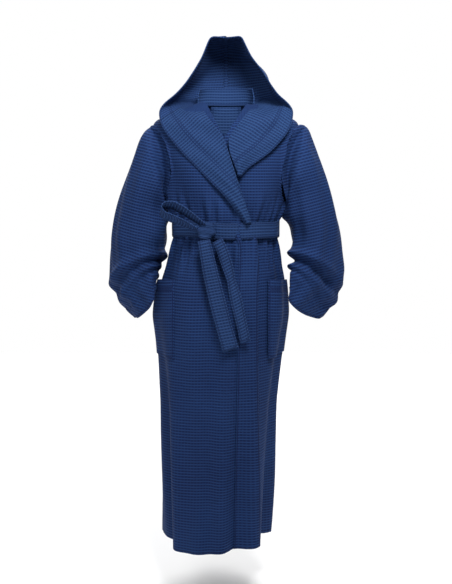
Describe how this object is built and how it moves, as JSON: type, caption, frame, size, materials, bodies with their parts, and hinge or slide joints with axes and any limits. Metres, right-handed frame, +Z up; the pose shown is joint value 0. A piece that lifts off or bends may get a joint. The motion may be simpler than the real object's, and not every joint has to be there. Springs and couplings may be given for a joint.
{
  "type": "hooded bathrobe",
  "caption": "Full-length hooded wrap bathrobe in waffle cotton, with shawl collar, patch pockets, wide sleeves and a tied belt.",
  "frame": {"origin": "the nape: middle of the back neck seam, where the hanging loop is sewn", "axes": "+Z up, the wearer faces -Y, the wearer's left is +X"},
  "size_m": [0.686, 0.3344, 1.46],
  "materials": {
    "waffle_cotton": "navy waffle weave, matt",
    "neck_cotton": "navy waffle weave, matt",
    "belt_cotton": "navy waffle weave, stitched edges",
    "tape": "flat woven tape",
    "label": "plain white satin tape, blank"
  },
  "bodies": {
    "robe": {"back_panel": "waffle_cotton", "right_front_panel": "waffle_cotton", "left_front_panel": "waffle_cotton", "right_collar": "waffle_cotton", "left_collar": "waffle_cotton", "right_front_band": "waffle_cotton", "left_front_band": "waffle_cotton", "neck_band": "neck_cotton", "back_neck_facing": "neck_cotton", "care_label": "label", "right_pocket": "waffle_cotton", "left_pocket": "waffle_cotton", "belt_waist": "belt_cotton", "belt_knot": "belt_cotton", "right_belt_carrier": "belt_cotton", "left_belt_carrier": "belt_cotton"},
    "hood": {"hood_right_half": "waffle_cotton", "hood_left_half": "waffle_cotton", "hood_right_band": "waffle_cotton", "hood_left_band": "waffle_cotton", "hood_seam_tape": "neck_cotton"},
    "right_sleeve": {"right_sleeve": "waffle_cotton", "right_cuff": "waffle_cotton"},
    "left_sleeve": {"left_sleeve": "waffle_cotton", "left_cuff": "waffle_cotton"},
    "belt_end_right": {"belt_end_right": "belt_cotton"},
    "belt_end_left": {"belt_end_left": "belt_cotton"},
    "belt_bow": {"belt_bow": "belt_cotton"},
    "hanging_loop": {"hanging_loop": "tape"}
  },
  "joints": [
    {"name": "hood_fold", "type": "hinge", "parent": "robe", "child": "hood", "pos_m": [0, 0.016, -0.008], "axis": [-1, 0, 0], "range_deg": [0, 75]},
    {"name": "right_sleeve_lift", "type": "hinge", "parent": "robe", "child": "right_sleeve", "pos_m": [-0.205, -0.092, -0.066], "axis": [0, 1, 0], "range_deg": [0, 45]},
    {"name": "left_sleeve_lift", "type": "hinge", "parent": "robe", "child": "left_sleeve", "pos_m": [0.205, -0.092, -0.066], "axis": [0, -1, 0], "range_deg": [0, 45]},
    {"name": "belt_end_right_swing", "type": "hinge", "parent": "robe", "child": "belt_end_right", "pos_m": [-0.0615, -0.2535, -0.38], "axis": [-1, 0, 0], "range_deg": [0, 75]},
    {"name": "belt_end_left_swing", "type": "hinge", "parent": "robe", "child": "belt_end_left", "pos_m": [-0.021, -0.2535, -0.38], "axis": [-1, 0, 0], "range_deg": [0, 75]},
    {"name": "belt_bow_droop", "type": "hinge", "parent": "robe", "child": "belt_bow", "pos_m": [-0.08, -0.236, -0.346], "axis": [0, -1, 0], "range_deg": [0, 45]},
    {"name": "hanging_loop_flip", "type": "hinge", "parent": "robe", "child": "hanging_loop", "pos_m": [0, 0.019, -0.024], "axis": [1, 0, 0], "range_deg": [0, 85]}
  ]
}
